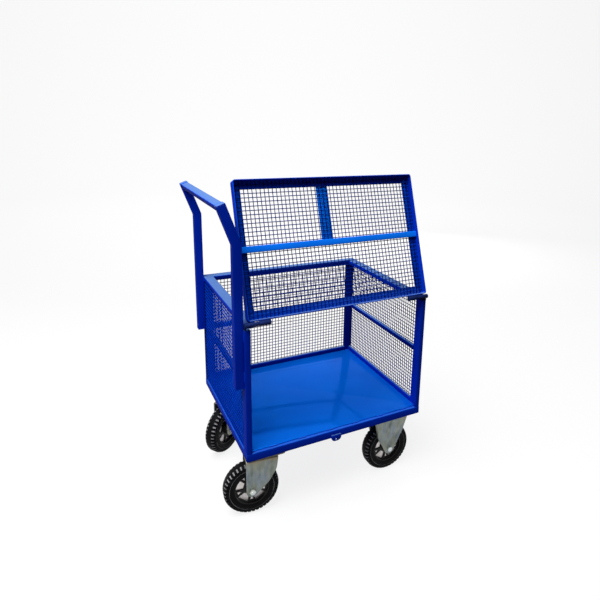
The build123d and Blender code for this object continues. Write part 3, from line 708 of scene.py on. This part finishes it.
def wire_row(bm, start, run, length, step, count):
    """A row of round wires that run along one direction, set out along another."""
    run = Vector(run)
    middle = Vector(start) + run * length / 2
    wire = bmesh.ops.create_cone(
        bm,
        cap_ends=True,
        segments=wire_sides,
        radius1=wire_radius,
        radius2=wire_radius,
        depth=length,
        matrix=Matrix.Translation(middle) @ run.to_track_quat("Z", "Y").to_matrix().to_4x4(),
    )
    verts = wire["verts"]
    edges = {edge for vert in verts for edge in vert.link_edges}
    faces = {face for vert in verts for face in vert.link_faces}
    repeat(bm, verts + list(edges) + list(faces), Vector(step), count)


def wire_panel(node, width, height, place, paint):
    """A welded panel, upright wires at the back and cross wires at the front, stood in place by a matrix."""
    uprights = int((width - 2 * wire_radius) / mesh_pitch)
    crosses = int((height - 2 * wire_radius) / mesh_pitch)
    first_x = -(uprights - 1) * mesh_pitch / 2
    first_y = -(crosses - 1) * mesh_pitch / 2
    front = mesh_depth - wire_radius
    bm = bmesh.new()
    spot = Matrix.Translation((first_x, first_y, mesh_depth / 2)) @ Matrix.Diagonal((1, 1, weld_flatness, 1))
    bmesh.ops.create_icosphere(bm, subdivisions=1, radius=weld_radius, matrix=spot)
    repeat(bm, bm.verts[:] + bm.edges[:] + bm.faces[:], Vector((mesh_pitch, 0, 0)), uprights)
    repeat(bm, bm.verts[:] + bm.edges[:] + bm.faces[:], Vector((0, mesh_pitch, 0)), crosses)
    wire_row(bm, (first_x, -height / 2, wire_radius), (0, 1, 0), height, (mesh_pitch, 0, 0), uprights)
    wire_row(bm, (-width / 2, first_y, front), (1, 0, 0), width, (0, mesh_pitch, 0), crosses)
    bmesh.ops.transform(bm, matrix=place, verts=bm.verts)
    bmesh.ops.recalc_face_normals(bm, faces=bm.faces)
    print(node, uprights, "uprights", crosses, "cross wires", len(bm.faces), "faces")
    finish_piece(bm, node, [paint], smooth_angle=60)


def standing(middle, right, outward):
    """A matrix that stands a flat panel up with its middle at a point."""
    turned = Matrix((right, outward.cross(right), outward)).transposed().to_4x4()
    return Matrix.Translation(middle) @ turned


# %% Weave the three walls
# The end wall by the handle takes the lighter wire paint as painted light, the others the darker one as painted
# shade.
walls = {
    "left_mesh": (0, -1, lit_end_wire_paint),
    "right_mesh": (0, 1, shaded_wire_paint),
    "back_mesh": (1, 1, shaded_wire_paint),
}
for node, (axis, side, paint) in walls.items():
    low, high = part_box(node)
    outward = Vector((0, 0, 0))
    outward[axis] = side
    middle = (low + high) / 2
    middle[axis] = high[axis] if side < 0 else low[axis]
    place = standing(middle, up.cross(outward), outward)
    wire_panel(node, (high - low)[1 - axis], high.z - low.z, place, paint)

# %% [markdown]
# The handle
#
# Two square tubes start half way up the end wall's posts, bend outwards and carry a grip bar. A rounded
# square is extruded along the path, and each new ring is slid along the tube's direction onto the plane of
# the next joint, which gives a true mitre at the bend. The grip is a slimmer box, rounded along its length
# and turned, that is welded between the uprights just under their closed tops. Each tube end is closed by a
# thin cap.

# %% Sweep the uprights
handle_lean = radians(20.4)
handle_tube = 30 * mm
bend_height = 1014 * mm
top_run = 138 * mm
cap_thickness = 3 * mm
lean_way = Vector((-sin(handle_lean), 0, cos(handle_lean)))
bend_plane = Vector((-sin(handle_lean / 2), 0, cos(handle_lean / 2)))
handle_uprights = ("handle_front_upright", "handle_rear_upright")


def upright_line(node):
    """The middle of an upright's foot and the middle of its bend."""
    low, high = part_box(node)
    foot = Vector((high.x - handle_tube / 2, (low.y + high.y) / 2, low.z))
    return foot, Vector((foot.x, foot.y, bend_height))


def slide_to(bm, face, way, centre, normal):
    """Extrudes a face along a direction until it lies on a plane, and returns the new face."""
    result = bmesh.ops.extrude_face_region(bm, geom=[face])
    for vert in new_verts(result):
        vert.co += way * ((centre - vert.co).dot(normal) / way.dot(normal))
    return next(element for element in result["geom"] if isinstance(element, bmesh.types.BMFace))


for node in handle_uprights:
    foot, bend = upright_line(node)
    upright = bmesh.new()
    bmesh.ops.create_grid(upright, x_segments=1, y_segments=1, size=handle_tube / 2)
    bevel(upright, upright.verts[:], tube_corner, segments=3, affect="VERTICES")
    bmesh.ops.translate(upright, verts=upright.verts, vec=foot)
    ring = slide_to(upright, upright.faces[:][0], up, bend, bend_plane)
    slide_to(upright, ring, lean_way, bend + lean_way * (top_run - cap_thickness), lean_way)
    bmesh.ops.delete(upright, geom=[ring], context="FACES_ONLY")
    bmesh.ops.recalc_face_normals(upright, faces=upright.faces)
    finish_piece(upright, node)
print("bend at", bend_height)

# %% Set the grip bar between the uprights
front_low, front_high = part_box("handle_front_upright")
rear_low, rear_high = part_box("handle_rear_upright")
lean_turn = Matrix.Rotation(-handle_lean, 3, "Y")
grip_width = 27 * mm
grip_height = 20 * mm
grip_sink = 2 * mm
half_grip = Vector((grip_width, rear_low.y - front_high.y, grip_height)) / 2
grip_bend = Vector((front_high.x - handle_tube / 2, (rear_low.y + front_high.y) / 2, bend_height))
grip_top = grip_bend + lean_way * (top_run - grip_sink)
grip = box_mesh(-half_grip, half_grip)
round_along(grip, 1, tube_corner)
bmesh.ops.rotate(grip, verts=grip.verts, cent=origin, matrix=lean_turn)
bmesh.ops.translate(grip, verts=grip.verts, vec=grip_top - lean_way * half_grip.z)
finish_piece(grip, "handle_grip_bar")
print("grip length", round(2 * half_grip.y, 3))

# %% Close the uprights' feet and tops
cap_ease = 0.8 * mm
cap_inset = 0.6 * mm


def end_cap(bm, half_width, turn, place):
    """Adds a square cap with rounded corners and an eased rim."""
    half_cap = Vector((half_width, half_width, cap_thickness / 2))
    cap = box_mesh(-half_cap, half_cap)
    round_along(cap, 2, tube_corner)
    rim = [edge for edge in cap.edges if abs(edge.verts[0].co.z - edge.verts[1].co.z) < near]
    bevel(cap, rim, cap_ease, segments=2)
    bmesh.ops.rotate(cap, verts=cap.verts, cent=origin, matrix=turn)
    bmesh.ops.translate(cap, verts=cap.verts, vec=place)
    cap_mesh = bpy.data.meshes.new("end_cap")
    cap.to_mesh(cap_mesh)
    cap.free()
    bm.from_mesh(cap_mesh)
    bpy.data.meshes.remove(cap_mesh)


caps = bmesh.new()
for node in handle_uprights:
    foot, bend = upright_line(node)
    end_cap(caps, handle_tube / 2, Matrix.Identity(3), foot - up * cap_thickness / 2)
    end_cap(caps, handle_tube / 2 - cap_inset, lean_turn, bend + lean_way * (top_run - cap_thickness / 2))
finish_piece(caps, "handle_caps")
print("caps", 2 * len(handle_uprights))

# %% [markdown]
# Weld seams
#
# The frame is welded by hand and painted over. A seam could be a bump in the paint, but it stands out of
# its corner and shows on the outline. So a small drop is repeated along each joint, each one overlapping the
# last, as the welder's dabs do: along the deck's front edge, at the posts' feet, on the rails' ends and
# round the handle. The seams stand for no node, so they only ride with the cart.

# %% Lay the weld seams
drop_radius = 2.6 * mm
drop_step = 2.2 * mm
drop_sides = 6
drop_rings = 4


def seam(bm, start, run):
    """Lays a row of overlapping drops from a point, along a run."""
    count = max(2, round(run.length / drop_step))
    for number in range(count + 1):
        spot = Matrix.Translation(start + run * number / count)
        bmesh.ops.create_uvsphere(
            bm, u_segments=drop_sides, v_segments=drop_rings, radius=drop_radius, matrix=spot
        )


def deck_seams(bm):
    """Stitches along the plate's front edge, and a seam at the foot of each post."""
    stitch_count = 6
    stitch_from = 70 * mm
    stitch_pitch = 110 * mm
    stitch = Vector((26 * mm, 0, 0))
    stitch_lift = 1.5 * mm
    front_foot = Vector((0, 22 * mm, 0))
    front_room = 4 * mm
    rear_foot = Vector((28 * mm, 0, 0))
    plate_low, plate_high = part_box("deck_plate")
    for number in range(stitch_count):
        x = plate_low.x + stitch_from + stitch_pitch * number
        seam(bm, Vector((x, plate_low.y, plate_low.z + stitch_lift)), stitch)
    for side, inner in (("left", 1), ("right", 0)):
        inner_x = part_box(f"front_{side}_post")[inner].x
        seam(bm, Vector((inner_x, plate_low.y + front_room, plate_high.z)), front_foot)
        low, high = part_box(f"rear_{side}_post")
        seam(bm, Vector(((low.x + high.x) / 2, low.y, plate_high.z)) - rear_foot / 2, rear_foot)


def rail_seams(bm):
    """A seam across the top of each end of the middle rails."""
    room = 2.5 * mm
    for side in ("left", "right"):
        low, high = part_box(f"{side}_mid_rail")
        for y in (low.y, high.y):
            seam(bm, Vector((low.x + room, y, high.z)), Vector((high.x - low.x - 2 * room, 0, 0)))
    low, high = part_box("back_mid_rail")
    for x in (low.x, high.x):
        seam(bm, Vector((x, low.y + room, high.z)), Vector((0, high.y - low.y - 2 * room, 0)))


def handle_seams(bm):
    """Seams between the uprights and the cage, and across the top of the grip's ends."""
    post_seam = Vector((0, 0, 32 * mm))
    post_heights = (545 * mm, 690 * mm)
    rail_room = 3 * mm
    grip_seam = Vector((cos(handle_lean), 0, sin(handle_lean))) * 22 * mm
    rail_low, rail_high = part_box("left_top_rail")
    rail_seam = Vector((0, 0, rail_high.z - rail_low.z - 2 * rail_room))
    for y in (front_low.y, rear_high.y):
        for height in post_heights:
            seam(bm, Vector((front_high.x, y, height)), post_seam)
    for y in (front_high.y, rear_low.y, rear_high.y):
        seam(bm, Vector((front_high.x, y, rail_low.z + rail_room)), rail_seam)
    for y in (front_high.y, rear_low.y):
        seam(bm, Vector((grip_top.x, y, grip_top.z)) - grip_seam / 2, grip_seam)


seams = bmesh.new()
deck_seams(seams)
rail_seams(seams)
handle_seams(seams)
print("weld drops", len(seams.faces) // (drop_sides * drop_rings))
new_piece(seams, "weld_seams", "deck_plate", [base_paint], smooth_angle=180)

# %% [markdown]
# Softened solids
#
# Many small pieces already have the right shape in the frame and lack only eased edges, which catch the
# light. A copy of the solid's mesh is merged, its flat faces are joined again, and its sharp edges are
# bevelled. That is quicker than modelling each bracket anew, and it can't drift from the solid.

# %% Soften the plates, brackets and fixings
def softened(node, ease):
    """A copy of a node's solid with eased edges."""
    bm = bmesh.new()
    bm.from_mesh(frame["nodes"][node].data)
    bmesh.ops.remove_doubles(bm, verts=bm.verts, dist=0.001 * mm)
    bmesh.ops.dissolve_limit(bm, angle_limit=radians(1), verts=bm.verts, edges=bm.edges)
    sharp = [edge for edge in bm.edges if edge.is_manifold and edge.calc_face_angle(0) > radians(40)]
    bevel(bm, sharp, ease, segments=2, clamp=True)
    return bm


eases = {
    "deck_plate": 1.4 * mm,
    "castor_pads": 0.8 * mm,
    "post_caps": 0.6 * mm,
    "hinge_end_plates": 0.8 * mm,
    "hinge_sockets": 0.5 * mm,
    "hinge_leaves": 0.5 * mm,
    "lock_tab": 0.8 * mm,
    "castor_bolts": 0.6 * mm,
    "swivel_plates": 0.8 * mm,
    "swivel_kingpins": 0.5 * mm,
    "front_swivel_race": 1.2 * mm,
    "rear_swivel_race": 1.2 * mm,
    "front_swivel_fork": 0.8 * mm,
    "rear_swivel_fork": 0.8 * mm,
    "front_fixed_fork": 0.8 * mm,
    "rear_fixed_fork": 0.8 * mm,
    "front_swivel_axle": 0.6 * mm,
    "rear_swivel_axle": 0.6 * mm,
    "fixed_axles": 0.6 * mm,
    "door_hinge_rail": 0.6 * mm,
    "door_free_rail": 0.6 * mm,
    "door_left_stile": 0.6 * mm,
    "door_right_stile": 0.6 * mm,
}
# The deck's plate takes its lighter paint, as painted light.
own_finish = {
    "deck_plate": lit_deck_paint,
    "front_swivel_fork": swivel_zinc,
    "rear_swivel_fork": swivel_zinc,
    "front_swivel_axle": bolt_zinc,
    "rear_swivel_axle": bolt_zinc,
    "fixed_axles": bolt_zinc,
}
for node, ease in eases.items():
    finish = own_finish.get(node, finishes[slot_of_node[node]])
    finish_piece(softened(node, ease), node, [finish])
print("softened", len(eases))

# %% [markdown]
# The door
#
# The door leans back on the side rails, so its pieces are made in its own plane, with the hinge line at the
# bottom, and then turned about that line. The bar is a flat tube, and the strip behind the mesh is a plain
# flat with eased edges.

# %% Lay out the door
door_lean = radians(18.9)
hinge = Vector(joints["door_hinge"]["pos_m"])
door_turn = Matrix.Translation((0, hinge.y, hinge.z)) @ Matrix.Rotation(pi / 2 - door_lean, 4, "X")
door_wall = 3 * mm
lip_forward = 1.4 * mm
door_angle = 30 * mm
lip_rise = 10 * mm
door_height = 467 * mm
frame_back = lip_forward - door_angle
mesh_front = frame_back + door_wall + mesh_depth
door_low, door_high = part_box("door_mesh")
door_width = door_high.x - door_low.x
door_middle = Vector(((door_low.x + door_high.x) / 2, lip_rise + door_height / 2, frame_back + door_wall))
door_place = door_turn @ Matrix.Translation(door_middle)
# The door's wires take the darker wire paint, as painted shade.
wire_panel("door_mesh", door_width, door_height - 2 * door_wall, door_place, shaded_wire_paint)

# %% Add the bar and the strip
bar_half = Vector((door_width / 2, 11 * mm, 5 * mm))
bar_corner = 2 * mm
bar_middle = Vector((door_middle.x, door_middle.y, mesh_front + bar_half.z))
bar = box_mesh(bar_middle - bar_half, bar_middle + bar_half)
round_along(bar, 0, bar_corner)
bmesh.ops.transform(bar, matrix=door_turn, verts=bar.verts)
# The bar takes the lighter paint, as painted light.
finish_piece(bar, "door_crossbar", [lit_bar_paint])

strip_low, strip_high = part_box("door_lock_strip")
strip_foot = door_middle.y - bar_half.y
strip_top = lip_rise + door_height - door_angle
strip_ease = 0.6 * mm
strip = box_mesh((strip_low.x, strip_foot, frame_back), (strip_high.x, strip_top, frame_back + door_wall))
bevel(strip, strip.edges[:], strip_ease, segments=2)
bmesh.ops.transform(strip, matrix=door_turn, verts=strip.verts)
# The strip takes the same lighter paint, as painted light.
finish_piece(strip, "door_lock_strip", [lit_bar_paint])
print("bar", [round(v, 3) for v in bar_half * 2])

# %% [markdown]
# Wheel centres
#
# A wheel centre is a copy of its solid with eased edges. The floors of its windows show the silver disc, so
# faces that look along the axle from inside a window get a second material.

# %% Colour the wheel centres
hub_ease = 0.7 * mm
silver_within = 11 * mm
wheel_names = ("front_swivel", "rear_swivel", "front_fixed", "rear_fixed")


def axle_line(name):
    """The centre of a wheel and the direction of its axle."""
    joint = joints[f"{name}_wheel_spin"]
    return Vector(joint["pos_m"]), Vector(joint["axis"]).normalized()


for name in wheel_names:
    centre, axle = axle_line(name)
    hub = softened(f"{name}_hub", hub_ease)
    floors = 0
    for face in hub.faces:
        depth = abs((face.calc_center_median() - centre).dot(axle))
        if abs(face.normal.dot(axle)) > 0.99 and depth < silver_within:
            face.material_index = 1
            floors += 1
    finish_piece(hub, f"{name}_hub", [finishes["wheel_black"], disc_silver])
print("silver floors on the last wheel", floors)

# %% [markdown]
# Tyres
#
# A tyre is a profile spun about the axle, with a thin ring moulded in its wall. Its tread could be a bump,
# but the lugs show on the outline. So every third column of shoulder faces is extruded and drawn in towards
# the tyre's core, which leaves lugs with grooves between them.

# %% Spin the tyres
lug_count = 40
columns = 3 * lug_count
groove_depth = 3.5 * mm
groove_from = 89 * mm
shoulder_from = 12 * mm
core_radius = 80 * mm
ring_radius = 80.5 * mm
ring_half = 1 * mm
wall_from = 20 * mm
glint_from = 94 * mm
tyre_wall = [(22, 62), (24.2, 66), (25, 70), (25, 76), (25, 78.5)]
tyre_ring = [(24.1, 79.5), (24.1, 81.5), (25, 82.5)]
tyre_shoulder = [(25, 88), (23, 93), (19, 97), (11.25, 100)]


def spun_tyre(centre, axle):
    """A tyre profile spun about the axle. Its points are millimetres along the axle and out from it."""
    side = tyre_wall + tyre_ring + tyre_shoulder
    outline = side + [(-along, radius) for along, radius in reversed(side)]
    bm = bmesh.new()
    verts = [bm.verts.new(centre + axle * along * mm + up * radius * mm) for along, radius in outline]
    edges = [bm.edges.new(pair) for pair in zip(verts, verts[1:] + verts[:1])]
    bmesh.ops.spin(
        bm, geom=verts + edges, cent=centre, axis=axle, angle=2 * pi, steps=columns, use_merge=True
    )
    bmesh.ops.remove_doubles(bm, verts=bm.verts, dist=0.01 * mm)
    bmesh.ops.recalc_face_normals(bm, faces=bm.faces)
    return bm


def place_on_tyre(face, centre, axle):
    """A face's distance from the wheel's middle plane, its radius and its column in a lug, from 0 to 2."""
    offset = face.calc_center_median() - centre
    along = offset.dot(axle)
    turn = atan2(offset.dot(axle.cross(up)), offset.dot(up)) % (2 * pi)
    return abs(along), (offset - axle * along).length, int(turn / (2 * pi) * columns) % 3


def groove(bm, centre, axle):
    """Draws in every third column of the shoulder faces."""
    chosen = []
    for face in bm.faces:
        along, radius, column = place_on_tyre(face, centre, axle)
        if column == 0 and along > shoulder_from and radius > groove_from:
            chosen.append(face)
    drawn = bmesh.ops.extrude_face_region(bm, geom=chosen)
    bmesh.ops.delete(bm, geom=[face for face in chosen if face.is_valid], context="FACES_ONLY")
    for vert in new_verts(drawn):
        offset = vert.co - centre
        radial = offset - axle * offset.dot(axle)
        core = centre + radial.normalized() * core_radius
        vert.co += (core - vert.co).normalized() * groove_depth
    bmesh.ops.recalc_face_normals(bm, faces=bm.faces)


def paint_glints(bm, centre, axle):
    """Gives one edge of each lug's shoulder and the ring in the wall a paler grey, as painted highlight."""
    for face in bm.faces:
        along, radius, column = place_on_tyre(face, centre, axle)
        slant = abs(face.normal.dot(axle))
        on_ring = abs(radius - ring_radius) < ring_half and along > wall_from
        on_lug = column == 1 and radius > glint_from and along > shoulder_from and 0.3 < slant < 0.9
        if on_ring or on_lug:
            face.material_index = 1


for name in wheel_names:
    centre, axle = axle_line(name)
    tyre = spun_tyre(centre, axle)
    groove(tyre, centre, axle)
    # Painted highlight on the lugs' shoulders and the ring.
    paint_glints(tyre, centre, axle)
    finish_piece(tyre, f"{name}_tyre", [finishes["tyre_rubber"], glint_rubber], smooth_angle=30)
print("tyres", len(wheel_names), "with", lug_count, "lugs")
